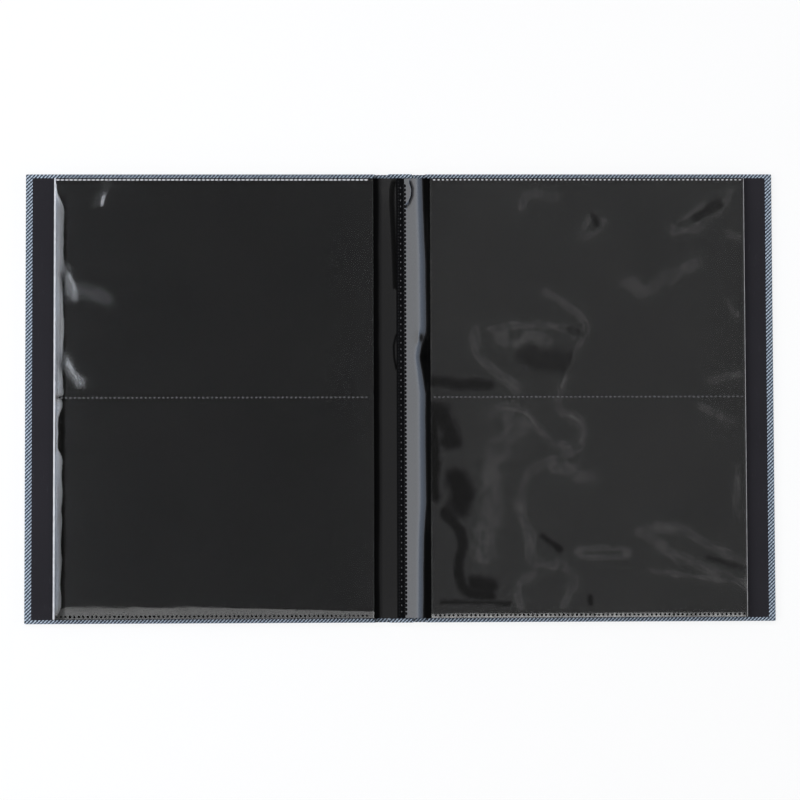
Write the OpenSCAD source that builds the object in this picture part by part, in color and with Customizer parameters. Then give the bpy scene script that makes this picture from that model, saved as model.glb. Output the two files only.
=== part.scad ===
// Cloth-covered slip-in photo album, lying open at its middle spread.
// The spine runs along Y, the table is at z = 0 and the gutter line is at x = 0.

/* [Cover] */
// Height of the cover, along the spine
cover_h = 225; // [150:1:320]
// Width of each cover board, from its groove edge to its fore-edge
board_w = 174.6; // [120:0.2:260]
// Thickness of the grey boards
board_t = 2; // [1.2:0.1:3]
// Thickness of the covering cloth
cloth_t = 0.4; // [0.3:0.05:0.8]
// Height of the black lining above the turned-in cloth
lining_rise = 0.15; // [0.1:0.05:0.4]
// Turned-in cloth that shows along each fore-edge
turn_in_fore = 3.5; // [2:0.1:12]
// Turned-in cloth that shows along the head and the tail
turn_in_head = 2; // [1.5:0.1:8]
// Radius of the cover's outer corners
corner_r = 0.9; // [0.5:0.1:1.4]

/* [Spine] */
// Flat groove between each folding line and the cover board beside it
groove_w = 6; // [4.5:0.1:10]
// Distance from the spine board's edge to the folding line
spine_ease = 0.8; // [0.8:0.1:1.5]
// Spare room between the leaves and the covers when the album is shut
shut_slack = 0.3; // [0.1:0.05:3]
// Thickness of the black lining in the grooves
groove_lining_t = 0.25; // [0.1:0.05:0.3]

/* [Leaves] */
// Number of leaves on each side of the open spread
leaves_per_side = 6; // [2:1:8]
// Cover that stands past the leaves at the head and at the tail
head_inset = 2.5; // [0.5:0.1:10]
// Cover that stands past the leaves' fore-edges when the album is shut
fore_inset = 1.5; // [0.5:0.1:12]
// Distance from the gutter line to the mouth of the pockets
pocket_mouth = 15; // [8:0.5:40]
// Thickness of the black carrier sheet
sheet_t = 0.24; // [0.15:0.01:0.5]
// Thickness of the clear pocket film
film_t = 0.08; // [0.05:0.01:0.15]
// Room between the carrier sheet and the film
pocket_gap = 0.05; // [0.04:0.01:0.3]
// Air between neighbouring leaves
leaf_gap = 0.06; // [0.05:0.01:0.3]
// Air between the lowest leaves and the lining under them
rest_gap = 0.1; // [0.05:0.05:0.4]
// Room over the top leaves for the swell of their film
swell = 0.3; // [0.05:0.05:1]

/* [Seams] */
// Width of the welded seams that close the pockets
weld_w = 1.6; // [1:0.1:4]
// Distance from a leaf's head or tail to its outer weld
weld_inset = 0.5; // [0.2:0.1:3]
// Depth of the welded seam below the gutter line that the leaves turn about
seam_drop = 1.9; // [0.5:0.1:2]
// Width of the guard strips in the gutter
guard_w = 3.5; // [2:0.1:10]
// Room between the guards and the leaves that swing round them
guard_clear = 0.3; // [0.2:0.05:1]

/* [Hidden] */
$fn = 48;
// A hairline along each crease, which keeps the flat stretches beside it apart
crease = 0.02;
// Running room round the rounded cloth fold
fold_clear = 0.05;

leaf_count = 2 * leaves_per_side;
leaf_t = sheet_t + 2 * (pocket_gap + film_t);
leaf_pitch = leaf_t + leaf_gap;

board_top = cloth_t + board_t;
turn_in_top = board_top + cloth_t;
lining_top = turn_in_top + lining_rise;
leaf_base = lining_top + rest_gap;

// The gutter line that every leaf turns about, just over the top of both stacks
gutter_z = leaf_base + leaves_per_side * leaf_pitch - leaf_gap + swell;
// The two folding lines of the case, in the middle of the cloth
fold_z = cloth_t / 2;
fold_x = gutter_z - fold_z + shut_slack;

board_in = fold_x + groove_w;
board_out = board_in + board_w;
cover_out = board_out + cloth_t;
board_h = cover_h - 2 * cloth_t;
cloth_in = fold_x + cloth_t / 2 + fold_clear;
lining_out = cover_out - turn_in_fore;
lining_h = cover_h - 2 * turn_in_head;
spine_board_w = 2 * (fold_x - spine_ease);

// Shutting the album carries the gutter line over the folding line, and the leaves with it
shut_shift = fold_x + gutter_z - fold_z;
leaf_h = cover_h - 2 * head_inset;
leaf_in = guard_w / 2 + guard_clear;
leaf_reach = cover_out - shut_shift - fore_inset;
film_out = leaf_reach - leaf_t / 2 - crease;
sheet_out = film_out - pocket_gap;
guard_pitch = (gutter_z - seam_drop - lining_top) / leaves_per_side;

function two_digits(i) = i < 10 ? str("0", i) : str(i);
function leaf_name(i, piece) = str("leaf_", two_digits(i), "_", piece);
// Leaves are counted from the front cover: the first half lies on the left, the rest on the right
function on_left(i) = i <= leaves_per_side;
function level(i) = on_left(i) ? i : leaf_count + 1 - i;
function leaf_z(i) = leaf_base + (level(i) - 1) * leaf_pitch;
// Height of a leaf's inner edge, where it is welded to its guard
function seam_z(i) = lining_top + (level(i) - 0.5) * guard_pitch;

case_nodes = [
    "front_board", "front_cloth", "front_lining",
    "spine_board", "spine_cloth", "spine_lining", "gutter_guards",
    "back_board", "back_cloth", "back_lining"
];
leaf_pieces = ["sheet", "sleeve", "welds"];

// A block from x0 to x1, centred on the spine's length, that starts at height z
module slab(x0, x1, length, z, t) {
    translate([x0, -length / 2, z]) cube([x1 - x0, length, t]);
}

// A block with its two fore-edge corners rounded
module round_slab(x0, x1, length, z, t, r) {
    translate([0, 0, z]) linear_extrude(t) union() {
        translate([x0, -length / 2]) square([x1 - x0 - r, length]);
        translate([x0, r - length / 2]) square([x1 - x0, length - 2 * r]);
        for (side = [-1, 1]) translate([x1 - r, side * (length / 2 - r)]) circle(r);
    }
}

// Everything is drawn on the right, and the front half of the album is its mirror image
module left_side() {
    mirror([1, 0, 0]) children();
}

// Case: grey boards in a cloth cover, lined with black paper
module cover_board() {
    slab(board_in, board_out, board_h, cloth_t, board_t);
}

module cover_cloth() {
    difference() {
        round_slab(board_in, cover_out, cover_h, 0, turn_in_top, corner_r);
        cover_board();
        slab(board_in - cloth_t, lining_out, lining_h, board_top, 2 * cloth_t);
    }
    slab(cloth_in, board_in, cover_h, 0, cloth_t);
    // Turned-in cloth at the head and the tail of the groove
    for (side = [-1, 1])
        translate([cloth_in, side * (cover_h + lining_h) / 4 - turn_in_head / 2, 0])
            cube([board_in - cloth_in, turn_in_head, cloth_t + groove_lining_t]);
}

// The lining lies on the board, steps down its edge and ends in the groove
module cover_lining() {
    step_in = board_in - groove_lining_t;
    groove_top = cloth_t + groove_lining_t;
    profile = [
        [cloth_in, cloth_t], [board_in, cloth_t], [board_in, board_top], [lining_out, board_top],
        [lining_out, lining_top], [step_in, lining_top], [step_in, groove_top], [cloth_in, groove_top]
    ];
    translate([0, lining_h / 2, 0]) rotate([90, 0, 0]) linear_extrude(lining_h) polygon(profile);
}

module front_board() {
    color("darkgray") left_side() cover_board();
}

module front_cloth() {
    color("slategray") left_side() cover_cloth();
}

module front_lining() {
    color("black") left_side() cover_lining();
}

module back_board() {
    color("darkgray") cover_board();
}

module back_cloth() {
    color("slategray") cover_cloth();
}

module back_lining() {
    color("black") cover_lining();
}

module spine_board() {
    color("darkgray") slab(-spine_board_w / 2, spine_board_w / 2, board_h, cloth_t, board_t);
}

// The cloth over the spine ends in two rounded folds, and is turned in over the spine board
module spine_cloth() {
    half = spine_board_w / 2;
    color("slategray") {
        slab(-fold_x, fold_x, cover_h, 0, cloth_t);
        for (side = [-1, 1])
            translate([side * fold_x, cover_h / 2, fold_z]) rotate([90, 0, 0]) cylinder(h = cover_h, d = cloth_t);
        difference() {
            slab(-half, half, cover_h, 0, turn_in_top);
            spine_board();
            slab(-half - cloth_t, half + cloth_t, lining_h, board_top, 2 * cloth_t);
        }
    }
}

module spine_lining() {
    color("black") slab(-spine_board_w / 2, spine_board_w / 2, lining_h, board_top, lining_top - board_top);
}

// One guard strip for each folded pair of leaves, stacked on the spine and welded through
module gutter_guards() {
    color("black")
        for (i = [0:leaves_per_side - 1])
            slab(-guard_w / 2, guard_w / 2, leaf_h, lining_top + i * guard_pitch, guard_pitch - crease);
}

// Places a piece of leaf i, which is drawn on the right with its lower face at z = 0
module place_leaf(i) {
    translate([0, 0, leaf_z(i)])
        if (on_left(i))
            left_side() children();
        else
            children();
}

// The black sheet lies flat inside the sleeve, and its margin slopes down to the welded seam
module leaf_sheet(i) {
    sheet_z = film_t + pocket_gap;
    inner_z = seam_z(i) - leaf_z(i) - sheet_t / 2;
    margin = [
        [leaf_in, inner_z], [pocket_mouth - crease, sheet_z],
        [pocket_mouth - crease, sheet_z + sheet_t], [leaf_in, inner_z + sheet_t]
    ];
    color("black") place_leaf(i) {
        slab(pocket_mouth, sheet_out, leaf_h, sheet_z, sheet_t);
        translate([0, leaf_h / 2, 0]) rotate([90, 0, 0]) linear_extrude(leaf_h) polygon(margin);
    }
}

// Clear film on both faces, folded round the fore-edge
module leaf_sleeve(i) {
    color("dimgray") place_leaf(i) {
        slab(pocket_mouth, film_out, leaf_h, 0, film_t);
        slab(pocket_mouth, film_out, leaf_h, leaf_t - film_t, film_t);
        intersection() {
            translate([leaf_reach - leaf_t / 2, leaf_h / 2, leaf_t / 2])
                rotate([90, 0, 0]) cylinder(h = leaf_h, d = leaf_t);
            slab(leaf_reach - leaf_t / 2, leaf_reach, leaf_h, 0, leaf_t);
        }
    }
}

// Three welds on each face close the two pockets at the head, the middle and the tail
module leaf_welds(i) {
    outer_y = leaf_h / 2 - weld_inset - weld_w / 2;
    color("gray") place_leaf(i)
        for (y = [-outer_y, 0, outer_y], z = [film_t, leaf_t - film_t - pocket_gap])
            translate([pocket_mouth, y - weld_w / 2, z]) cube([sheet_out - pocket_mouth, weld_w, pocket_gap]);
}

front_board();
front_cloth();
front_lining();
spine_board();
spine_cloth();
spine_lining();
gutter_guards();
back_board();
back_cloth();
back_lining();
for (i = [1:leaf_count]) {
    leaf_sheet(i);
    leaf_sleeve(i);
    leaf_welds(i);
}
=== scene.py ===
"""Looks of the open photo album: a twill case, black linings, twelve sleeved leaves and a welded gutter."""

import math

import bmesh
import bpy
from mathutils import Matrix, Vector, noise


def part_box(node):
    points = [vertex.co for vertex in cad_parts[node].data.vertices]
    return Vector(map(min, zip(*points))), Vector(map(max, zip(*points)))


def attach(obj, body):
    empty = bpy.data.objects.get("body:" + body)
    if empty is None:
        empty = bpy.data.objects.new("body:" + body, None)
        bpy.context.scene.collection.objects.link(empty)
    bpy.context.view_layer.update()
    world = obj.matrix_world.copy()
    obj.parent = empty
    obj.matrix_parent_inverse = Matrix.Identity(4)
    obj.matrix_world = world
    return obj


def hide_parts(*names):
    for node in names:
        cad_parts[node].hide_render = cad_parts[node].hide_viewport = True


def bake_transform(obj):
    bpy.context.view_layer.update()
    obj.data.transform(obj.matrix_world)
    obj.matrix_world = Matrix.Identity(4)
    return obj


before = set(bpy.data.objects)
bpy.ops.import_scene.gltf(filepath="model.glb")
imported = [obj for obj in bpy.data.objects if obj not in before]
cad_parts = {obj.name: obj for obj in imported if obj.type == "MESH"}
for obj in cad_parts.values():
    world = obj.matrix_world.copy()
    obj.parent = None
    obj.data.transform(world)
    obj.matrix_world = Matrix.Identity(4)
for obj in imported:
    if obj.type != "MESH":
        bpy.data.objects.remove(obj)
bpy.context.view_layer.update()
scene = bpy.context.scene
scene.view_settings.view_transform = "Standard"

# All modelling is in millimetres, and each finished piece is scaled to metres
MM = 0.001
TURN = 2 * math.pi

# Sizes that the CAD model gives, in millimetres
COVER_LOW, COVER_HIGH = (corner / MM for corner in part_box("back_cloth"))
BOARD_LOW, BOARD_HIGH = (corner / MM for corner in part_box("back_board"))
LINING_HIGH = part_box("back_lining")[1] / MM
SPINE_LOW, SPINE_HIGH = (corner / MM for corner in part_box("spine_board"))
SPINE_CLOTH_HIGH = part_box("spine_cloth")[1] / MM
GUARD_LOW, GUARD_HIGH = (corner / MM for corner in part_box("gutter_guards"))
SHEET_LOW, SHEET_HIGH = (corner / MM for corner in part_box("leaf_07_sheet"))
SLEEVE_LOW, SLEEVE_HIGH = (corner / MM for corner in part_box("leaf_07_sleeve"))

LEAVES_PER_SIDE = 6
LEAF_COUNT = 2 * LEAVES_PER_SIDE
# The two leaves whose pages show
TOP_LEFT = LEAVES_PER_SIDE
TOP_RIGHT = LEAVES_PER_SIDE + 1
FILM_T = 0.08
SHEET_T = 0.24
CLOTH_T = 0.4
CLOTH_EDGE_R = 0.55
LEAF_T = SLEEVE_HIGH.z - SLEEVE_LOW.z
HALF_LEAF = SLEEVE_HIGH.y
MOUTH_X = SLEEVE_LOW.x
FORE_X = SLEEVE_HIGH.x
SEAM_X = SHEET_LOW.x
WELD_Y = HALF_LEAF - 1.3


# Shader wiring


class Wire:
    """One shader output that plain arithmetic works on."""

    def __init__(self, finish, socket):
        self.finish = finish
        self.socket = socket

    def math(self, operation, *values):
        return self.finish.node("ShaderNodeMath", {"operation": operation}, dict(enumerate(values)))

    def __add__(self, other):
        return self.math("ADD", self, other)

    def __radd__(self, other):
        return self.math("ADD", other, self)

    def __sub__(self, other):
        return self.math("SUBTRACT", self, other)

    def __rsub__(self, other):
        return self.math("SUBTRACT", other, self)

    def __mul__(self, other):
        return self.math("MULTIPLY", self, other)

    def __rmul__(self, other):
        return self.math("MULTIPLY", other, self)

    def wave(self):
        """A sine of this value, from 0 to 1."""
        return 0.5 + 0.5 * self.math("SINE", self)

    def limited(self):
        return self.math("MINIMUM", self.math("MAXIMUM", self, 0.0), 1.0)

    def step(self, low, high):
        """0 below low, 1 above high, and a smooth change between them."""
        settings = {"interpolation_type": "SMOOTHSTEP"}
        sockets = {"Value": self, "From Min": low, "From Max": high}
        return self.finish.node("ShaderNodeMapRange", settings, sockets)


class Finish:
    """A node tree, and the one method that adds any node to it."""

    def __init__(self, name, owner=None):
        self.owner = owner or bpy.data.materials.new(name)
        self.owner.use_nodes = True
        self.tree = self.owner.node_tree

    def node(self, kind, settings=None, sockets=None, output=0):
        made = self.tree.nodes.new(kind)
        for name, value in (settings or {}).items():
            setattr(made, name, value)
        for name, value in (sockets or {}).items():
            self.feed(made.inputs[name], value)
        return Wire(self, made.outputs[output])

    def feed(self, socket, value):
        if isinstance(value, Wire):
            self.tree.links.new(value.socket, socket)
        else:
            socket.default_value = value

    def shader(self, sockets):
        principled = self.tree.nodes["Principled BSDF"]
        for name, value in sockets.items():
            self.feed(principled.inputs[name], value)
        return Wire(self, principled.outputs[0])

    def attribute(self, name):
        """A value that the piece's own points carry."""
        return self.node("ShaderNodeAttribute", {"attribute_name": name}, None, "Fac")

    def place(self):
        return self.node("ShaderNodeTexCoord", output="Object")

    def axes(self):
        place = self.place()
        return [self.node("ShaderNodeSeparateXYZ", None, {0: place}, axis) for axis in "XYZ"]

    def grain(self, scale, detail=2.0, rough=0.5, stretch=None):
        """Noise from 0 to 1 on Object coordinates, with its scale per metre."""
        place = self.place()
        if stretch:
            place = self.node("ShaderNodeMapping", None, {"Vector": place, "Scale": stretch})
        sockets = {"Vector": place, "Scale": scale, "Detail": detail, "Roughness": rough}
        return self.node("ShaderNodeTexNoise", None, sockets)

    def blend(self, share, first, second):
        return self.node("ShaderNodeMix", {"data_type": "RGBA"}, {0: share, 6: first, 7: second}, 2)

    def bump(self, height, strength, distance):
        sockets = {"Strength": strength, "Distance": distance, "Height": height}
        return self.node("ShaderNodeBump", None, sockets)


def shade(red, green, blue):
    return (red, green, blue, 1.0)


# Finishes


def twill_cloth():
    """Blue-grey book cloth: pale slanting weft floats over a navy warp."""
    twill_pitch = 1.8 * MM
    float_pitch = 2.2 * MM
    finish = Finish("twill_cloth")
    x, y, z = finish.axes()
    drift = finish.grain(420.0, 2.0)
    slant = (y - x + z) * (TURN / twill_pitch) + drift * 1.6
    cross = (x + y + z) * (TURN / float_pitch) + drift * 3.0
    ridge = slant.wave()
    knot = cross.wave()
    slub = finish.grain(900.0, 3.0, 0.6, (1.0, 0.22, 1.0))
    mottle = finish.grain(38.0, 3.0)
    height = ridge * (0.6 + 0.4 * knot)
    pale = (height * 2.1 - 0.78 + 0.4 * slub).limited()
    navy = finish.blend(mottle, shade(0.016, 0.023, 0.037), shade(0.030, 0.041, 0.060))
    ice = finish.blend(slub, shade(0.30, 0.38, 0.47), shade(0.58, 0.66, 0.75))
    finish.shader({
        "Base Color": finish.blend(pale, navy, ice),
        "Roughness": 0.92 - 0.14 * pale,
        "Normal": finish.bump(height + 0.35 * slub, 0.55, 0.00022),
        "Sheen Weight": 0.18,
        "Sheen Roughness": 0.5,
        "Specular IOR Level": 0.25,
    })
    return finish.owner


def lining_paper():
    """Matt black end paper with a fine tooth and a faint purple cast."""
    finish = Finish("lining_paper")
    tooth = finish.grain(2600.0, 4.0, 0.65)
    cloud = finish.grain(26.0, 3.0)
    fibre = finish.grain(700.0, 3.0, 0.6, (1.0, 0.2, 1.0))
    dark = finish.blend(cloud, shade(0.0115, 0.0108, 0.0140), shade(0.0175, 0.0162, 0.0205))
    speck = (fibre - 0.62) * 3.0
    finish.shader({
        "Base Color": finish.blend(speck.limited(), dark, shade(0.030, 0.028, 0.034)),
        "Roughness": 0.80 + 0.15 * tooth,
        "Normal": finish.bump(tooth, 0.35, 0.00006),
        "Specular IOR Level": 0.22,
    })
    return finish.owner


def black_sheet():
    """Black plastic carrier sheet with a soft calendered gloss, which loses its gloss and is painted
    darker, as painted shade, beside the pocket mouth and in the margin creases.
    """
    finish = Finish("black_sheet")
    cloud = finish.grain(30.0, 3.0)
    skin = finish.grain(1500.0, 3.0, 0.6)
    ripple = finish.grain(55.0, 2.0, 0.5, (1.0, 0.35, 1.0))
    dull_and_shade = finish.attribute("dull_and_shade")
    glossy = (1 - dull_and_shade).limited()
    black = finish.blend(cloud, shade(0.0030, 0.0030, 0.0033), shade(0.0055, 0.0055, 0.0060))
    finish.shader({
        # Painted shade: the colour goes nearly black where the margin loses its gloss, in its creases and
        # beside the pocket mouth.
        "Base Color": finish.blend(dull_and_shade, black, shade(0.0004, 0.0004, 0.0005)),
        "Roughness": 0.08 + 0.01 * skin,
        "Normal": finish.bump(ripple, 0.16, 0.0003),
        "Specular IOR Level": 0.2,
        "Coat Weight": glossy,
        "Coat Roughness": 0.11,
        "Coat IOR": 1.56,
    })
    return finish.owner


def clear_film():
    """Clear glossy pocket film, paler along the rims of the patches where it clings to the sheet, and
    painted darker where it clings, as painted shade in place of the lost reflections.
    """
    finish = Finish("clear_film")
    cloud = finish.grain(22.0, 3.0)
    stretch = finish.grain(120.0, 2.0, 0.5, (0.25, 1.0, 1.0))
    swirl = finish.grain(46.0, 4.0, 0.55)
    rim = finish.attribute("cling_rim")
    cling_painted_shade = finish.attribute("cling_painted_shade")
    matt = finish.attribute("matt")
    contour = (rim * (1.8 * TURN) + swirl * 5.0).wave()
    feather = (finish.grain(250.0, 4.0, 0.65, (1.0, 0.6, 1.0)) * 3.0 - 1.0).limited()
    haze = (rim * (0.35 + 0.65 * contour) * (0.15 + 0.85 * feather) + 0.10 * cloud).limited()
    clear = finish.blend(cloud, shade(0.93, 0.94, 0.95), shade(0.98, 0.98, 0.98))
    finish.shader({
        # Painted shade: the film's colour goes nearly black where it clings, standing in for the
        # reflections of the sheet and the film's underside that are lost there.
        "Base Color": finish.blend(cling_painted_shade, clear, shade(0.03, 0.03, 0.035)),
        "Roughness": 0.02 + 0.03 * stretch + 0.28 * matt,
        "Normal": finish.bump(stretch, 0.06, 0.0002),
        "Coat Weight": ((0.12 + 1.2 * haze) * (1 - cling_painted_shade)).limited(),
        "Coat Roughness": 0.06,
        "Coat IOR": 2.6,
        "Transmission Weight": 1.0,
        "IOR": 1.49,
    })
    return finish.owner


def film_weld():
    """Beads of melted film over the black sheet, grey and glossy."""
    finish = Finish("film_weld")
    melt = finish.grain(800.0, 3.0, 0.6)
    finish.shader({
        "Base Color": finish.blend(melt, shade(0.026, 0.026, 0.028), shade(0.080, 0.080, 0.084)),
        "Roughness": 0.10 + 0.14 * melt,
        "Normal": finish.bump(melt, 0.2, 0.00005),
        "Specular IOR Level": 0.6,
    })
    return finish.owner


def film_edge_highlight():
    """Folded and cut edges of the film, painted pale as a painted highlight of the light that the fold and
    the curled head reflect.
    """
    finish = Finish("film_edge_highlight")
    highlight_grain = finish.grain(260.0, 3.0, 0.6)
    finish.shader({
        # Painted highlight: pale grey stands in for the lamps' reflection along the rounded fold and the
        # head teeth.
        "Base Color": finish.blend(highlight_grain, shade(0.34, 0.34, 0.36), shade(0.68, 0.68, 0.70)),
        "Roughness": 0.18 + 0.2 * highlight_grain,
        "Normal": finish.bump(highlight_grain, 0.2, 0.0001),
    })
    return finish.owner


def gutter_film():
    """Black guard film, dulled where the welding bar pressed it."""
    finish = Finish("gutter_film")
    press = finish.grain(600.0, 3.0, 0.6)
    cloud = finish.grain(45.0, 2.0)
    finish.shader({
        "Base Color": finish.blend(cloud, shade(0.0018, 0.0018, 0.0022), shade(0.0045, 0.0045, 0.0050)),
        "Roughness": 0.06 + 0.05 * press,
        "Normal": finish.bump(press, 0.1, 0.00006),
        "Specular IOR Level": 0.12,
    })
    return finish.owner


def grey_board():
    """Grey binder's board of recycled fibre."""
    finish = Finish("grey_board")
    fibre = finish.grain(900.0, 4.0, 0.65)
    ply = finish.grain(500.0, 2.0, 0.5, (0.1, 0.1, 3.0))
    finish.shader({
        "Base Color": finish.blend(fibre, shade(0.17, 0.165, 0.155), shade(0.30, 0.29, 0.275)),
        "Roughness": 0.85 + 0.1 * fibre,
        "Normal": finish.bump(fibre + ply, 0.4, 0.0001),
    })
    return finish.owner


TWILL = twill_cloth()
LINING = lining_paper()
SHEET = black_sheet()
FILM = clear_film()
WELD = film_weld()
EDGE_HIGHLIGHT = film_edge_highlight()
GUTTER = gutter_film()
BOARD = grey_board()


# Making pieces


def leaf_name(number):
    return "leaf_%02d" % number


def on_left(number):
    return number <= LEAVES_PER_SIDE


def on_show(number):
    return number in (TOP_LEFT, TOP_RIGHT)


def smooth_step(value):
    """0 below 0, 1 above 1, and a smooth change between them."""
    value = min(1.0, max(0.0, value))
    return value * value * (3 - 2 * value)


def wander(x, y, seed):
    """Smooth noise from -1 to 1 at a place in millimetres."""
    return noise.noise(Vector((x, y, 13.7 * seed)))


def as_piece(bm, name, material, nodes, soft=True, crisp=40):
    """Turns a bmesh in millimetres into a finished object at the origin."""
    bmesh.ops.recalc_face_normals(bm, faces=bm.faces)
    bmesh.ops.scale(bm, vec=(MM, MM, MM), verts=bm.verts)
    mesh = bpy.data.meshes.new(name)
    bm.to_mesh(mesh)
    bm.free()
    mesh.materials.append(material)
    mesh.polygons.foreach_set("use_smooth", [soft] * len(mesh.polygons))
    mesh.set_sharp_from_angle(angle=math.radians(crisp))
    piece = bpy.data.objects.new(name, mesh)
    scene.collection.objects.link(piece)
    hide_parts(*nodes)
    return piece


def mirrored(bm):
    """Turns a piece made for the right-hand side into its left-hand twin."""
    bmesh.ops.scale(bm, vec=(-1, 1, 1), verts=bm.verts)
    bmesh.ops.reverse_faces(bm, faces=bm.faces)


def block(bm, low, high):
    """A box between two corners."""
    low = Vector(low)
    high = Vector(high)
    place = Matrix.Translation((low + high) / 2) @ Matrix.Diagonal((high - low).to_4d())
    return bmesh.ops.create_cube(bm, size=1.0, matrix=place)["verts"]


def round_edges(bm, edges, radius, segments=4):
    bmesh.ops.bevel(
        bm, geom=edges, offset=radius, offset_type="OFFSET", affect="EDGES",
        segments=segments, profile=0.5, material=-1,
    )


# Case


def cover_cloth(side):
    """Cloth glued round a cover board: outside, turned-in border and the flat groove beside the spine."""
    bm = bmesh.new()
    outer = COVER_HIGH.x
    half = COVER_HIGH.y
    top = COVER_HIGH.z
    inner = BOARD_LOW.x
    profile = [
        (COVER_LOW.x, 0.0), (outer, 0.0), (outer, top),
        (inner, top), (inner, CLOTH_T), (COVER_LOW.x, CLOTH_T),
    ]
    corners = [bm.verts.new((x, -half, z)) for x, z in profile]
    end = bm.faces.new(corners)
    grown = bmesh.ops.extrude_face_region(bm, geom=[end])["geom"]
    far_end = [part for part in grown if isinstance(part, bmesh.types.BMVert)]
    bmesh.ops.translate(bm, vec=(0, 2 * half, 0), verts=far_end)
    bmesh.ops.recalc_face_normals(bm, faces=bm.faces)

    # The cloth opens inside its border, and the board's place is hollowed out under it
    crown = max(bm.faces, key=lambda face: face.calc_center_median().z)
    bmesh.ops.inset_region(bm, faces=[crown], thickness=1.0, use_even_offset=True)
    wall = 0.05
    fit_face(crown, (inner + wall, LINING_HIGH.x), LINING_HIGH.y)
    crown = sink_face(bm, crown, CLOTH_T)
    crown = sink_face(bm, crown, 0.0)
    fit_face(crown, (inner + wall, BOARD_HIGH.x), BOARD_HIGH.y)
    sink_face(bm, crown, BOARD_HIGH.z - BOARD_LOW.z)

    rims = [edge for edge in bm.edges if on_cover_rim(edge, inner, outer, half)]
    round_edges(bm, rims, CLOTH_EDGE_R)
    if side == "front":
        mirrored(bm)
    piece = as_piece(bm, side + "_cloth_wrap", TWILL, [side + "_cloth"])
    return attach(piece, side + "_cover")


def fit_face(face, reach, half):
    """Stretches a rectangular face to x limits and to a half length along the spine."""
    middle = face.calc_center_median()
    for vert in face.verts:
        vert.co.x = reach[0] if vert.co.x < middle.x else reach[1]
        vert.co.y = math.copysign(half, vert.co.y)


def sink_face(bm, face, depth):
    """Extrudes a face straight down and gives back its new floor."""
    grown = bmesh.ops.extrude_discrete_faces(bm, faces=[face])["faces"][0]
    bmesh.ops.translate(bm, vec=(0, 0, -depth), verts=grown.verts)
    return grown


def on_cover_rim(edge, inner, outer, half):
    """True for the cover's outer edges: round the fore-edge, the head and the tail."""
    first, second = (vert.co for vert in edge.verts)
    if min(first.x, second.x) < inner - 0.01:
        return False
    ends = all(abs(abs(place.y) - half) < 0.01 for place in (first, second))
    fore = all(abs(place.x - outer) < 0.01 for place in (first, second))
    upright = abs(first.z - second.z) > 0.1
    if upright:
        return fore
    level = first.z
    return (ends or fore) and (level < 0.01 or level > CLOTH_T + 0.1)


def spine_cloth():
    """Cloth over the spine: a flat band with rounded folds, turned in over the ends of the spine board."""
    bm = bmesh.new()
    half = COVER_HIGH.y
    fold = SPINE_CLOTH_HIGH.x
    band = block(bm, (-fold, -half, 0), (fold, half, CLOTH_T))
    sides = {edge for vert in band for edge in vert.link_edges}
    folds = [edge for edge in sides if abs(edge.verts[0].co.y - edge.verts[1].co.y) > half]
    round_edges(bm, folds, CLOTH_T / 2 - 0.01, 3)
    for end in (-1, 1):
        cap_low = min(end * half, end * SPINE_HIGH.y)
        cap_high = max(end * half, end * SPINE_HIGH.y)
        block(bm, (SPINE_LOW.x, cap_low, CLOTH_T), (SPINE_HIGH.x, cap_high, COVER_HIGH.z))
        lip_low = min(end * SPINE_HIGH.y, end * LINING_HIGH.y)
        lip_high = max(end * SPINE_HIGH.y, end * LINING_HIGH.y)
        block(bm, (SPINE_LOW.x, lip_low, SPINE_HIGH.z), (SPINE_HIGH.x, lip_high, COVER_HIGH.z))
    piece = as_piece(bm, "spine_cloth_wrap", TWILL, ["spine_cloth"], soft=False)
    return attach(piece, "spine")


# Leaves


def rolled(distance, width):
    """Rise of the film from a held edge: steep at the edge, level at its width."""
    share = min(1.0, max(0.0, distance / width))
    return 1 - (1 - share) ** 1.25


def near_path(x, y, path):
    """Distance from a place to a line of points."""
    best = 1e9
    for first, second in zip(path, path[1:]):
        along = (second[0] - first[0], second[1] - first[1])
        length = along[0] ** 2 + along[1] ** 2
        share = ((x - first[0]) * along[0] + (y - first[1]) * along[1]) / length
        share = min(1.0, max(0.0, share))
        gap = math.hypot(x - first[0] - share * along[0], y - first[1] - share * along[1])
        best = min(best, gap)
    return best


def near_box(x, y, path, reach):
    """True where a place is close enough to a path's box to be worth measuring."""
    across = [point[0] for point in path]
    along = [point[1] for point in path]
    inside_x = min(across) - reach < x < max(across) + reach
    return inside_x and min(along) - reach < y < max(along) + reach


# Dents and ripples in the film of the two pages that show: path, width and height, from the gutter outwards
LEFT_RIPPLES = [
    ([(148, 106), (151, 98)], 3.0, -0.18),
    ([(167, 60), (164, 52)], 2.4, -0.09),
    ([(168, 17), (163, 9)], 2.4, -0.10),
]
RIGHT_RIPPLES = [
    ([(143, 96), (152, 91), (166, 82)], 4.0, 0.08),
    ([(73, 52), (85, 45), (93, 37), (90, 28), (80, 3.5)], 2.4, 0.15),
    ([(120, -68), (145, -78), (168, -92)], 4.2, 0.15),
]

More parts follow.
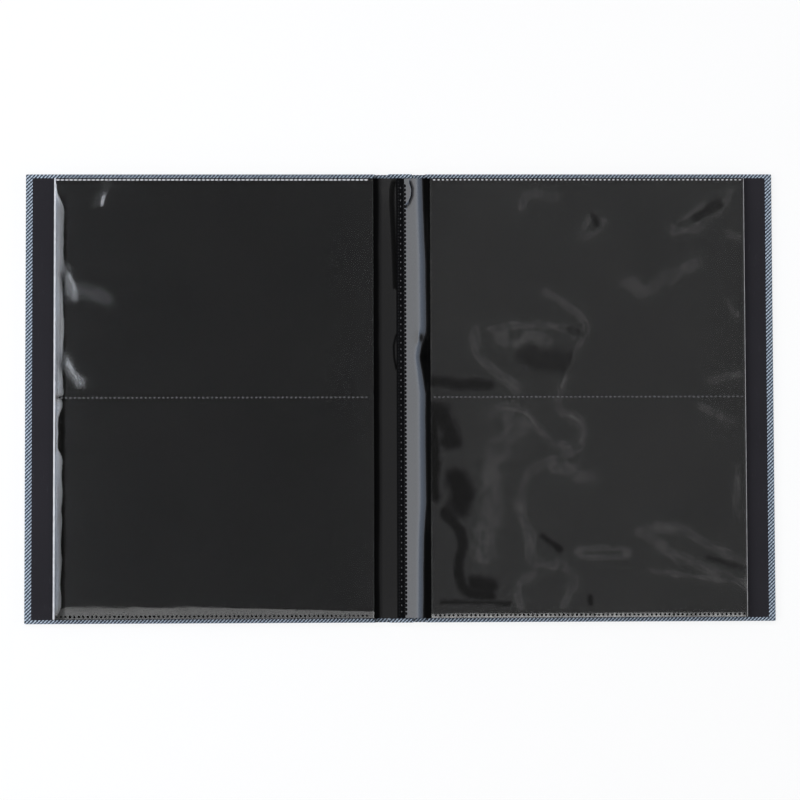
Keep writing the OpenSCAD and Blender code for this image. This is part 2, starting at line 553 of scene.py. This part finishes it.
# Rims of the patches where the right-hand film clings to its sheet: path, width and strength
CLING_RIMS = [
    ([(61, 95), (64, 101), (70, 102), (77, 100)], 3.0, 0.7),
    ([(91, 80), (93, 86), (97, 92)], 2.0, 0.7),
    ([(93, 80), (99, 83), (102, 88)], 2.5, 0.7),
    ([(137, 84), (146, 84), (156, 91), (164, 99), (166, 103)], 2.5, 0.8),
    ([(137, 86), (146, 92), (152, 96)], 2.6, 0.5),
    ([(115, 58), (122, 52), (132, 58), (150, 67)], 3.6, 0.65),
    ([(73, 52), (85, 45), (93, 37), (90, 28), (80, 3.5)], 2.2, 1.0),
    ([(37, 33), (38, 20.6), (45, 14.6), (58.5, 4.5)], 2.5, 0.9),
    ([(45, 34), (65.6, 36), (85, 34), (88, 29)], 2.4, 0.7),
    ([(50, 31), (57, 27), (66, 31), (72, 27)], 4.0, 0.6),
    ([(156, 8), (170, 11)], 2.6, 0.6),
    ([(164, 48), (168, 41)], 2.0, 0.6),
    ([(165, 82), (170, 80)], 2.0, 0.6),
    ([(168, -52), (170, -57)], 2.3, 0.6),
    ([(48, -5.5), (59.5, -13), (46, -31), (44, -55), (41, -79)], 7.0, 0.6),
    ([(50, -5.5), (62.6, -8.5), (71.6, -19), (81, -25), (90, -23)], 2.3, 1.0),
    ([(90, -23), (91.7, -17), (88, -12), (80, -7.5), (79, -0.5)], 2.3, 1.0),
    ([(90, -24), (86, -28), (71.6, -33), (62.6, -40.7), (59.5, -52.8)], 2.0, 0.8),
    ([(78, -34), (92, -40)], 5.0, 0.6),
    ([(58.5, -53), (63.6, -69), (65.6, -82), (80, -84.6), (86, -92), (81, -104)], 2.5, 0.9),
    ([(66.6, -88), (57.5, -95), (59.5, -104)], 2.3, 0.8),
    ([(87, -78), (92, -76), (108, -76), (114, -78), (108, -80), (92, -80), (87, -78)], 1.3, 0.9),
    ([(120, -67), (137, -66), (158, -77), (171, -84.6)], 2.5, 0.9),
    ([(123, -69), (137, -79), (172, -94)], 2.5, 0.9),
    ([(125, -87), (161, -92)], 2.0, 0.6),
    ([(149.5, -4.5), (166, -13)], 2.0, 0.7),
    ([(168, -36), (169, -60)], 2.3, 0.5),
]
# Patches where it clings, painted darker as painted shade in place of the reflections lost there: path,
# width and strength
CLING_SHADE_PATCHES = [
    ([(15.5, 8), (30, 6.5), (44, 6)], 2.8, 0.5),
    ([(17, -8), (22, -11), (24, -20)], 5.6, 0.62),
    ([(16.5, -12), (16.8, -30), (17.2, -50)], 2.4, 0.68),
    ([(27, -42), (30, -47), (30, -54)], 6.0, 0.66),
    ([(22, -58), (27, -64), (30.5, -72), (28.5, -87), (33, -97), (45, -99)], 2.6, 0.64),
    ([(37, -93), (44, -95)], 4.4, 0.64),
    ([(20, -102), (54, -103)], 1.0, 0.55),
    ([(71, -70), (79, -76)], 1.5, 0.68),
    ([(94, -100), (94.3, -103)], 1.4, 0.6),
    ([(64, 20), (82, 17)], 6.0, 0.35),
    ([(97, 91), (99, 86.5)], 1.7, 0.5),
    ([(149, 90), (160, 97)], 2.4, 0.45),
    ([(85, 34), (91, 31.5)], 1.7, 0.28),
    ([(153.5, -80.5), (172, -86)], 1.4, 0.45),
]
# Scuffed smears on the left-hand film, where its gloss is soft: path, width and strength
LEFT_SMEARS = [
    ([(147, 107), (151, 97)], 3.0, 0.40),
    ([(168, 62), (163, 50)], 3.4, 0.85),
    ([(164, 56), (155, 52), (146, 50)], 4.0, 0.45),
    ([(169, 19), (160, 8)], 3.6, 0.85),
]


def flowing(path, parts=5):
    """Rounds a line of points into a smooth curve through all of them."""
    ends = [path[0], *path, path[-1]]
    curve = []
    for before, first, second, after in zip(ends, ends[1:], ends[2:], ends[3:]):
        for part in range(parts):
            t = part / parts
            place = []
            for a, b, c, d in zip(before, first, second, after):
                bend = (2 * a - 5 * b + 4 * c - d) * t * t + (3 * b - a - 3 * c + d) * t ** 3
                place.append(0.5 * (2 * b + (c - a) * t + bend))
            curve.append(tuple(place))
    return curve + [path[-1]]


def flowing_marks(marks):
    return [(flowing(path), width, strength) for path, width, strength in marks]


def strongest(x, y, marks, crisp=False):
    """How far a place lies in the strongest of some marks, from 0 to 1; crisp marks have a firm outline."""
    best = 0.0
    for path, width, strength in marks:
        if not near_box(x, y, path, 2.5 * width):
            continue
        ragged = wander(0.16 * x, 0.16 * y, 5) + 0.6 * wander(0.45 * x, 0.45 * y, 6)
        unevenness = 0.4 if crisp else 0.65
        gap = near_path(x, y, path) + unevenness * width * ragged
        if gap < 2.5 * width:
            share = smooth_step((1.4 - gap / width) / 0.9) if crisp else math.exp(-((gap / width) ** 2))
            best = max(best, strength * share)
    return best


RIM_CURVES = flowing_marks(CLING_RIMS)
SHADE_PATCH_CURVES = flowing_marks(CLING_SHADE_PATCHES)
SMEAR_CURVES = flowing_marks(LEFT_SMEARS)
# Width of the band of streaked painted shade along the fore-edge of the left film, and of its soft inner
# border
FORE_BAND = 6.5
FORE_BORDER = 1.5


def fore_bend(y):
    """How far the left film is bent down along its fore-edge: not at all at the head."""
    return smooth_step((104 - y) / 9)


def left_film_marks(x, y):
    """Rim, painted shade and smear of the left film: a pale mouth, streaks of painted shade over the
    reflection of the fore-edge band, and smears.
    """
    rim = 0.7 if x < mouth_of(TOP_LEFT) + 0.02 else 0.0
    low = smooth_step((-10 - y) / 70)
    # Painted shade: streaks that darken the reflection of the bent-down film along the fore-edge.
    streak = 0.68 + 0.16 * low + 0.30 * wander(0.9 * x, 0.02 * y, 21)
    cling_painted_shade = min(1.0, streak) * fore_bend(y) * smooth_step((x - FORE_X + FORE_BAND) / FORE_BORDER)
    return rim, cling_painted_shade, strongest(x, y, SMEAR_CURVES)


def right_film_marks(x, y):
    """Rim, painted cling shade and smear of the right film: pale at its mouth and tail, and painted darker
    where it clings, as painted shade.
    """
    at_edge = x < MOUTH_X + 0.02 or y < 2.4 - HALF_LEAF
    rim = 0.9 if at_edge else strongest(x, y, RIM_CURVES)
    return rim, strongest(x, y, SHADE_PATCH_CURVES, crisp=True), 0.0


def mark_film(bm, number, upper):
    """Writes the marks of a film that shows onto the points of its upper face."""
    layers = [bm.verts.layers.float.new(name) for name in ("cling_rim", "cling_painted_shade", "matt")]
    if not on_show(number):
        return
    marks_at = left_film_marks if on_left(number) else right_film_marks
    for vert in bm.verts:
        if vert.co.z > upper:
            for layer, value in zip(layers, marks_at(vert.co.x, vert.co.y)):
                vert[layer] = value


def between(value, table):
    """Reads a table of (place, size) rows, which runs upwards, with straight lines between them."""
    for (first, low), (second, high) in zip(table, table[1:]):
        if value <= second:
            share = max(0.0, (value - first) / (second - first))
            return low + (high - low) * share
    return table[-1][1]


# Depth of the bent-down film along the tail of the left page, from the gutter to the fore-edge
TAIL_BAND = [
    (14, 3.0), (50, 4.6), (75, 5.8), (95, 7.0), (103, 7.6), (106, 9.2), (109, 9.2), (112, 7.2),
    (120, 6.6), (131, 7.6), (135, 8.9), (140, 8.3), (150, 8.2), (163, 8.5), (169, 6.5), (173, 4.0),
]
# Depth of the easy rise of the film at the head of both pages
HEAD_RISE = 12.0
# Most that the film may stand over its flat level
MOST_SWELL = 0.29
# How much closer to the gutter the left film's mouth lies than in the CAD model
MOUTH_SHIFT = 1.4


def page_swell(reach, y, number):
    """Height of the top film over its flat level, in millimetres, on the pages that show."""
    left = on_left(number)
    seed = 3 if left else 8
    fore_gap = FORE_X - reach
    tail = y < -WELD_Y / 2
    weld_gap = min(abs(y), y + HALF_LEAF) if tail else min(abs(y - WELD_Y), abs(y), abs(y + WELD_Y))
    ragged = wander(0.11 * reach, 0.11 * y, seed) + 0.6 * wander(0.31 * reach, 0.31 * y, seed + 1)
    if left:
        narrower = 0.9 * smooth_step((-10 - y) / 60)
        pinch = 2.9 * smooth_step((y + 31) / 6) * smooth_step((-4 - y) / 5)
        fore_width = 0.9 + (4.3 - narrower - pinch + 0.9 * ragged) * fore_bend(y)
        weld_width = HEAD_RISE if y > WELD_Y / 2 else 2.6 + 1.2 * ragged
        if tail:
            weld_width = between(reach, TAIL_BAND) + 0.35 * ragged
        plump = 0.25
        ripples = LEFT_RIPPLES
    else:
        fore_width = 2.0 + 0.6 * ragged
        weld_width = HEAD_RISE if y > WELD_Y / 2 else 3.0 + 1.0 * ragged
        if tail:
            weld_width = 2.3 + 0.25 * ragged
        plump = 0.10
        ripples = RIGHT_RIPPLES
    height = plump * rolled(fore_gap, fore_width) * rolled(weld_gap, weld_width)
    held = rolled(fore_gap, 6.0) * rolled(weld_gap, 6.0)
    height += 0.022 * held * wander(0.045 * reach, 0.06 * y, seed + 2)
    for path, width, rise in ripples:
        gap = near_path(reach, y, path) + 0.4 * width * wander(0.22 * reach, 0.22 * y, seed + 4)
        if gap < 3 * width:
            height += rise * held * math.exp(-((gap / width) ** 2))
    return min(MOST_SWELL, max(0.0, height))


def mouth_of(number):
    """Where a film ends beside the gutter: a little further in on the left page that shows."""
    return MOUTH_X - MOUTH_SHIFT if number == TOP_LEFT else MOUTH_X


def slack(reach, y, seed):
    """Slight waviness of a film that lies flat."""
    return 0.012 * wander(0.05 * reach, 0.05 * y, seed)


def sleeve_film(number):
    """Clear film folded round the fore-edge, swollen between its welds on the pages that show."""
    name = leaf_name(number)
    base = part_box(name + "_sleeve")[0].z / MM
    shows = on_show(number)
    across, along = (230, 176) if shows else (44, 22)
    fold_share = 0.03 if shows else 0.06
    front_share = 0.86 if shows else 0.47
    fold_x = FORE_X - LEAF_T / 2
    mouth = mouth_of(number)
    bm = bmesh.new()
    bmesh.ops.create_grid(bm, x_segments=across, y_segments=along, size=1.0)
    for vert in bm.verts:
        share = (vert.co.x + 1) / 2
        y = vert.co.y * HALF_LEAF
        if share <= front_share:
            reach = mouth + (fold_x - mouth) * share / front_share
            rise = page_swell(reach, y, number) if shows else slack(reach, y, number)
            vert.co = (reach, y, LEAF_T + rise)
        elif share < front_share + fold_share:
            angle = math.pi * (share - front_share) / fold_share
            vert.co = (fold_x + LEAF_T / 2 * math.sin(angle), y, LEAF_T / 2 * (1 + math.cos(angle)))
        else:
            back = (share - front_share - fold_share) / (1 - front_share - fold_share)
            reach = fold_x + (MOUTH_X - fold_x) * back
            vert.co = (reach, y, slack(reach, y, number + 40))
    bmesh.ops.recalc_face_normals(bm, faces=bm.faces)
    bmesh.ops.solidify(bm, geom=bm.faces[:], thickness=-FILM_T)
    bmesh.ops.translate(bm, vec=(0, 0, base), verts=bm.verts)
    paint_fold_highlight(bm, number, fold_x)
    mark_film(bm, number, base + LEAF_T - 2 * FILM_T)
    if on_left(number):
        mirrored(bm)
    piece = as_piece(bm, name + "_film", FILM, [name + "_sleeve"])
    piece.data.materials.append(EDGE_HIGHLIGHT)
    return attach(piece, name)


def paint_fold_highlight(bm, number, fold_x):
    """Gives the fold of a film its pale finish, a painted highlight, which is widest on the left page that
    shows.
    """
    highlight_width = 0.75 if number == TOP_LEFT else 0.0
    for face in bm.faces:
        if face.calc_center_median().x > fold_x - highlight_width:
            face.material_index = 1


# Where the glossy slope beside the right page ends, from the tail to the head: place along the spine, reach
RIGHT_SLOPE = [
    (-110, 10.8), (-71, 11.5), (-53, 12.6), (-10, 12.4), (2, 12.5), (12, 11.0), (20, 9.6), (25, 10.4),
    (32, 12.7), (37, 12.9), (67, 12.6), (92, 11.7), (110, 11.2),
]
# Creases in the two margins that show: path and width
LEFT_CREASES = [
    ([(3.2, 108), (4.1, 104), (4.2, 98), (3.7, 88), (3.0, 72), (2.5, 55)], 1.2),
    ([(2.3, 31), (3.5, 26), (3.3, 20), (2.2, 14)], 0.45),
]
RIGHT_CREASES = [
    ([(5.3, 108.5), (6.4, 105), (6.2, 101), (4.8, 97.5), (3.4, 96)], 0.6),
]
CREASE_DEPTH = 0.1
# Place of the dimple in the right slope: reach, and place along the spine
SLOPE_DIMPLE = (9.0, 30.0)


def margin_crease(reach, y, number):
    """How deep a place lies in a crease of its margin, from 0 to 1."""
    creases = LEFT_CREASES if on_left(number) else RIGHT_CREASES
    deepest = 0.0
    for path, width in creases:
        if near_box(reach, y, path, 3 * width):
            gap = near_path(reach, y, path) / width
            deepest = max(deepest, math.exp(-(gap ** 4)))
    return deepest


def margin_pinch(y, number):
    """Unevenness of a margin along the spine."""
    return wander(0.035 * y, 0.4, number) + 0.5 * wander(0.12 * y, 2.4, number)


def margin_rise(reach, y, number, drop):
    """Height over the welded seam, in the gutter, of a margin that climbs by a drop to its level page."""
    pinch = margin_pinch(y, number)
    shows = on_show(number)
    if on_left(number) or not shows:
        # One even slope, then level beside the pocket
        level_x = 10.5 + (0.35 * pinch if shows else 0.0)
        share = (reach - SEAM_X) / (level_x - SEAM_X)
        eased = min(1.0, share) - 0.03 * math.exp(-(((share - 1) / 0.08) ** 2))
        return drop * max(0.0, eased)
    # A glossy slope that eases off and stands a little over the page before it dips to the pocket
    steep, easy = 0.205, 0.140
    end_x = between(y, RIGHT_SLOPE) + 0.15 * pinch
    width = end_x - SEAM_X
    share = min(1.0, (reach - SEAM_X) / width)
    ease = max(0.0, 2 * share - 1)
    climb = width * (steep * share - 0.5 * (steep - easy) * (ease ** 3 - 0.5 * ease ** 4))
    away = math.hypot(reach - SLOPE_DIMPLE[0], 0.7 * (y - SLOPE_DIMPLE[1]))
    climb += 0.12 * math.exp(-((away / 1.5) ** 2))
    if reach <= end_x:
        return climb
    return climb + (drop - climb) * smooth_step((reach - end_x) / (MOUTH_X - end_x))


def margin_dullness_and_shade(reach, y, number):
    """1 where a margin that shows has lost its gloss and carries painted shade: beside the pocket and in
    its creases.
    """
    pinch = margin_pinch(y, number)
    start = 10.2 + 0.35 * pinch if on_left(number) else between(y, RIGHT_SLOPE) + 0.15 * pinch + 0.1
    soft = 1.2 if on_left(number) else 0.4
    shaded = smooth_step((reach - start) / soft) if reach < mouth_of(number) else 0.0
    return max(shaded, margin_crease(reach, y, number))


def carrier_sheet(number):
    """Black sheet: level inside the sleeve, with a margin that drops to the welded seam in the gutter."""
    name = leaf_name(number)
    low, high = (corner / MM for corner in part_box(name + "_sheet"))
    shows = on_show(number)
    margin_steps, along = (66, 260) if shows else (12, 16)
    page_steps = 8
    level = high.z
    seam_level = low.z + SHEET_T
    bm = bmesh.new()
    bmesh.ops.create_grid(bm, x_segments=margin_steps + page_steps, y_segments=along, size=1.0)
    margin_share = margin_steps / (margin_steps + page_steps)
    dull_and_shade = bm.verts.layers.float.new("dull_and_shade")
    for vert in bm.verts:
        share = (vert.co.x + 1) / 2
        y = vert.co.y * HALF_LEAF
        if share <= margin_share + 1e-6:
            reach = SEAM_X + (MOUTH_X - SEAM_X) * share / margin_share
            z = seam_level + margin_rise(reach, y, number, level - seam_level)
            if shows:
                z -= CREASE_DEPTH * margin_crease(reach, y, number)
                # Loss of gloss, and painted shade in the sheet's colour, beside the pocket and in the
                # creases
                vert[dull_and_shade] = margin_dullness_and_shade(reach, y, number)
        else:
            reach = MOUTH_X + (SHEET_HIGH.x - MOUTH_X) * (share - margin_share) / (1 - margin_share)
            z = level
        vert.co = (reach, y, z)
    bmesh.ops.recalc_face_normals(bm, faces=bm.faces)
    if bm.faces[:][0].normal.z < 0:
        bmesh.ops.reverse_faces(bm, faces=bm.faces)
    bmesh.ops.solidify(bm, geom=bm.faces[:], thickness=SHEET_T)
    if on_left(number):
        mirrored(bm)
    studded = number == TOP_RIGHT
    if studded:
        stud_column(bm, LEAF_STUDS, 1)
    piece = as_piece(bm, name + "_carrier", SHEET, [name + "_sheet"])
    if studded:
        piece.data.materials.append(GUTTER)
    if on_left(number):
        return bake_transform(piece)
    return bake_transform(piece)


def repeated(bm, count, step):
    """Repeats all that a bmesh holds along a step, by doubling it and cutting off what is too many."""
    step = Vector(step)
    start = min(vert.co.dot(step) for vert in bm.verts)
    made = 1
    while made < count:
        geometry = bm.verts[:] + bm.edges[:] + bm.faces[:]
        copies = bmesh.ops.duplicate(bm, geom=geometry)["geom"]
        moved = [part for part in copies if isinstance(part, bmesh.types.BMVert)]
        bmesh.ops.translate(bm, vec=step * made, verts=moved)
        made *= 2
    limit = start + (count - 0.02) * step.length_squared
    spare = [vert for vert in bm.verts if vert.co.dot(step) > limit]
    bmesh.ops.delete(bm, geom=spare, context="VERTS")


def bead(bm, place, size, sides, rings):
    """A flattened round bead, whose faces are given back."""
    shape = Matrix.Translation(place) @ Matrix.Diagonal((*size, 1.0))
    made = bmesh.ops.create_uvsphere(bm, u_segments=sides, v_segments=rings, radius=1.0, matrix=shape)
    return {face for vert in made["verts"] for face in vert.link_faces}


# Weld beads: length, width, extra height, shift towards the edge, and the rank of their finish
PLAIN_BEAD = (0.70, 0.50, 0.0, 0.0, 0)
LEFT_TOOTH = (0.98, 0.46, 0.0, 0.45, 1)
RIGHT_TOOTH = (0.66, 0.36, 0.0, 0.45, 1)
TAIL_DOT = (0.72, 0.72, 0.06, 0.0, 2)


def bead_shape(number, row, proud):
    """The bead of a row: on the pages that show, teeth at the head painted pale as a painted highlight, and
    dark dots at the tail.
    """
    if not proud or row == 0:
        return PLAIN_BEAD
    if row == -1:
        return TAIL_DOT
    return LEFT_TOOTH if on_left(number) else RIGHT_TOOTH


def weld_rows(number):
    """Rows of melted weld beads at the head, the middle and the tail of both faces of a leaf."""
    name = leaf_name(number)
    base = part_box(name + "_sleeve")[0].z / MM
    bead_pitch = 2.2
    inset = 1.0
    count = int((SHEET_HIGH.x - MOUTH_X - inset) / bead_pitch)
    shows = on_show(number)
    bm = bmesh.new()
    for face in (-1, 1):
        proud = shows and face == 1
        level = base + LEAF_T / 2 + face * (LEAF_T / 2 - FILM_T)
        standing = 0.14 if proud else 0.015
        rise = FILM_T + standing
        sides, rings = (10, 6) if proud else (6, 4)
        for row in (-1, 0, 1):
            length, width, extra, shift, finish_rank = bead_shape(number, row, proud)
            place = (MOUTH_X + inset + bead_pitch / 2, row * (WELD_Y + shift), level)
            for face_of_bead in bead(bm, place, (length, width, rise + extra), sides, rings):
                face_of_bead.material_index = finish_rank
    repeated(bm, count, (bead_pitch, 0, 0))
    if on_left(number):
        mirrored(bm)
    piece = as_piece(bm, name + "_weld_beads", WELD, [name + "_welds"])
    piece.data.materials.append(EDGE_HIGHLIGHT)
    piece.data.materials.append(GUTTER)
    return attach(piece, name)


# Columns of weld studs: place across the spine, lift over the guards, size and pitch
LEFT_STUDS = (-0.80, 0.0, (0.38, 0.55, 0.10), 1.56)
MIDDLE_STUDS = (0.20, 0.0, (0.26, 0.42, 0.10), 3.12)
LEAF_STUDS = (2.30, 0.20, (0.72, 0.86, 0.08), 2.08)


def stud_column(bm, studs, finish_rank):
    """Adds a column of weld studs that runs along the guards."""
    x, lift, size, pitch = studs
    column = bmesh.new()
    for face in bead(column, (x, GUARD_LOW.y + pitch, GUARD_HIGH.z + lift), size, 10, 6):
        face.material_index = finish_rank
    repeated(column, int((GUARD_HIGH.y - GUARD_LOW.y) / pitch) - 1, (0, pitch, 0))
    store = bpy.data.meshes.new("stud_column")
    column.to_mesh(store)
    column.free()
    bm.from_mesh(store)
    bpy.data.meshes.remove(store)


def gutter_seam():
    """Stack of guard strips with two staggered columns of weld studs."""
    half = GUARD_HIGH.x
    pitch = (GUARD_HIGH.z - GUARD_LOW.z) / LEAVES_PER_SIDE
    strip_gap = 0.02
    bm = bmesh.new()
    stud_column(bm, LEFT_STUDS, 0)
    stud_column(bm, MIDDLE_STUDS, 1)
    for strip in range(LEAVES_PER_SIDE):
        low = GUARD_LOW.z + strip * pitch
        verts = block(bm, (-half, GUARD_LOW.y, low), (half, GUARD_HIGH.y, low + pitch - strip_gap))
        edges = {edge for vert in verts for edge in vert.link_edges}
        round_edges(bm, list(edges), 0.06, 2)
    piece = as_piece(bm, "gutter_seam", GUTTER, ["gutter_guards"], crisp=20)
    piece.data.materials.append(WELD)
    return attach(piece, "spine")


for cover in ("front", "back"):
    cover_cloth(cover)
spine_cloth()
gutter_seam()
for leaf in range(1, LEAF_COUNT + 1):
    carrier_sheet(leaf)
    sleeve_film(leaf)
    weld_rows(leaf)

cad_finishes = {"_board": BOARD, "_lining": LINING}
for node_name, node_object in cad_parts.items():
    for ending, material in cad_finishes.items():
        if node_name.endswith(ending):
            node_object.data.materials.clear()
            node_object.data.materials.append(material)


# Studio

# The point that all lamps face
MIDDLE = Vector((0, 0, 0))


def studio_floor():
    """White table top that keeps a faint shadow."""
    bm = bmesh.new()
    bmesh.ops.create_grid(bm, x_segments=1, y_segments=1, size=4.0)
    mesh = bpy.data.meshes.new("table_top")
    bm.to_mesh(mesh)
    bm.free()
    floor = bpy.data.objects.new("table_top", mesh)
    scene.collection.objects.link(floor)
    finish = Finish("white_table")
    seen = finish.node("ShaderNodeLightPath", output="Is Camera Ray")
    mirrored_ray = finish.node("ShaderNodeLightPath", output="Is Glossy Ray")
    passed_ray = finish.node("ShaderNodeLightPath", output="Is Transmission Ray")
    shown = (seen + mirrored_ray + passed_ray).limited()
    lit = finish.shader({"Base Color": shade(0.88, 0.88, 0.88), "Roughness": 0.9})
    glow = finish.node("ShaderNodeEmission", None, {"Color": shade(1, 1, 1), "Strength": 1.0})
    glow_share = 0.78
    mixed = finish.node("ShaderNodeMixShader", None, {0: shown * glow_share, 1: lit, 2: glow})
    finish.feed(finish.tree.nodes["Material Output"].inputs["Surface"], mixed)
    mesh.materials.append(finish.owner)


def softbox(name, place, size, power, tint=(1.0, 1.0, 1.0)):
    """A soft lamp that faces the middle of the album."""
    light = bpy.data.lights.new(name, "AREA")
    light.shape = "RECTANGLE"
    light.size, light.size_y = size
    light.energy = power
    light.color = tint
    lamp = bpy.data.objects.new(name, light)
    lamp.location = place
    lamp.rotation_euler = (MIDDLE - Vector(place)).to_track_quat("-Z", "Y").to_euler()
    lamp.visible_camera = False
    scene.collection.objects.link(lamp)


def studio_world():
    """Dim room: darker overhead, with a pale panel at the right and a blue one at the left."""
    world = bpy.data.worlds.new("studio")
    scene.world = world
    finish = Finish("studio", world)
    direction = finish.node("ShaderNodeTexCoord", output="Generated")
    x = finish.node("ShaderNodeSeparateXYZ", None, {0: direction}, "X")
    z = finish.node("ShaderNodeSeparateXYZ", None, {0: direction}, "Z")
    overhead = 0.50 - 0.42 * z.step(0.2, 0.95)
    right_panel = x.step(0.27, 0.35) * (1 - x.step(0.42, 0.52))
    blue_panel = x.step(-0.37, -0.32) * (1 - x.step(-0.28, -0.19)) * z.step(0.5, 0.8)
    strength = overhead + 0.065 * x.step(-0.01, 0.05) + 0.12 * right_panel + 1.75 * blue_panel
    background = finish.tree.nodes["Background"]
    finish.feed(background.inputs["Strength"], strength)
    tint = finish.blend(blue_panel, shade(1, 1, 1), shade(0.62, 0.76, 1.0))
    finish.feed(background.inputs["Color"], tint)


def photo_camera():
    """Camera straight over the album, as the photograph was taken."""
    data = bpy.data.cameras.new("camera")
    data.sensor_width = 36.0
    picture_pixels = 800
    focal_pixels = 1990.7
    data.lens = data.sensor_width * focal_pixels / picture_pixels
    camera = bpy.data.objects.new("camera", data)
    camera.location = (-0.0202, -0.0395, 1.0)
    camera.rotation_mode = "YXZ"
    camera.rotation_euler = (math.radians(2.198), math.radians(-1.135), math.radians(-0.136))
    scene.collection.objects.link(camera)
    scene.camera = camera


studio_floor()
softbox("key_left", (-0.80, 0.0, 0.95), (1.8, 1.0), 13.4, (0.93, 0.955, 1.0))
softbox("foot", (0.0, -0.50, 0.95), (1.1, 0.6), 1.5)
softbox("head", (0.1, 0.55, 0.9), (0.9, 0.45), 2.0)
softbox("right", (1.05, 0.0, 0.45), (1.0, 0.4), 2.6)
studio_world()
photo_camera()
